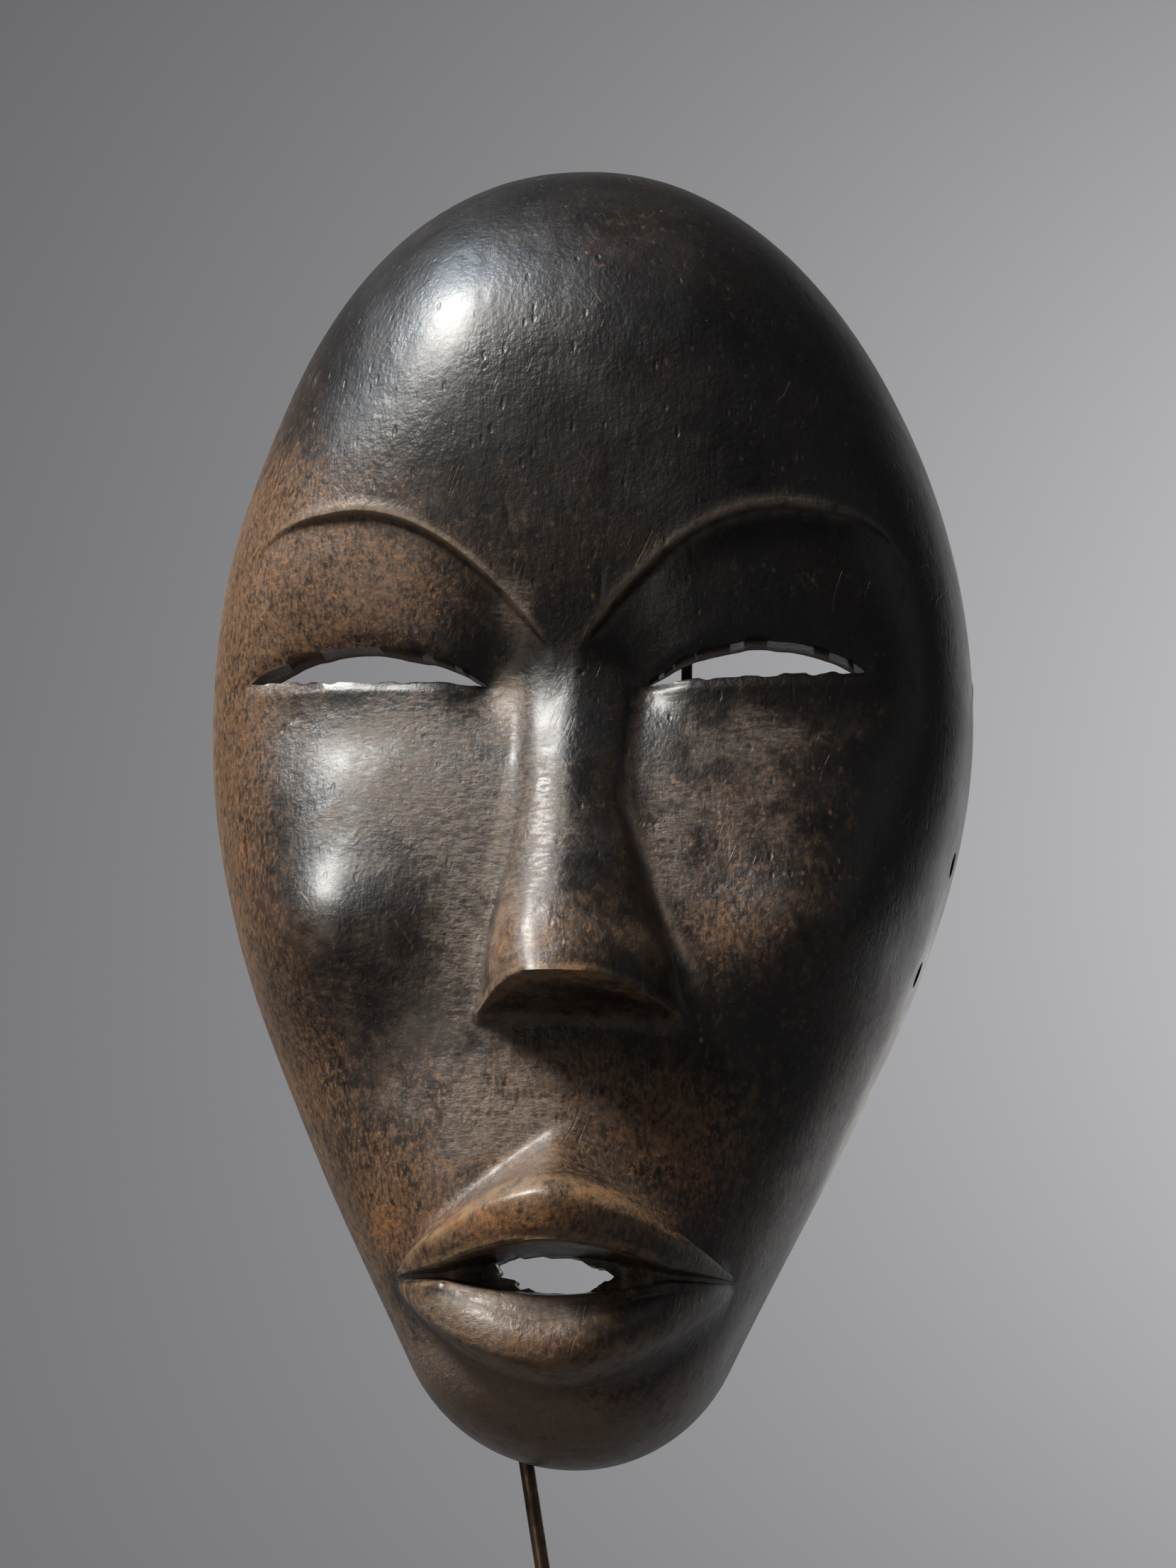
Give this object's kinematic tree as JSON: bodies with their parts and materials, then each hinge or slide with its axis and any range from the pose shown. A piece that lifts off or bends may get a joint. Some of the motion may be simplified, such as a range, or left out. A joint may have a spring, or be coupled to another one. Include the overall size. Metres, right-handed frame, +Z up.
{
  "type": "dan mask on a display stand",
  "caption": "Hollow carved wooden face mask with narrow eye slits, a pointed oval outline and full parted lips, hung on a bent metal rod with a flat foot plate.",
  "frame": {"origin": "middle of the foot plate's underside", "axes": "+Z up, the face looks along -Y, +X is the viewer's right"},
  "size_m": [0.136, 0.0935, 0.353],
  "materials": {
    "dark_wood": "polished dark patina with brown wear",
    "rod_metal": "satin browned",
    "plate_metal": "satin black"
  },
  "bodies": {
    "root": {"mask": "dark_wood", "stand_rod": "rod_metal", "stand_plate": "plate_metal"}
  },
  "joints": []
}
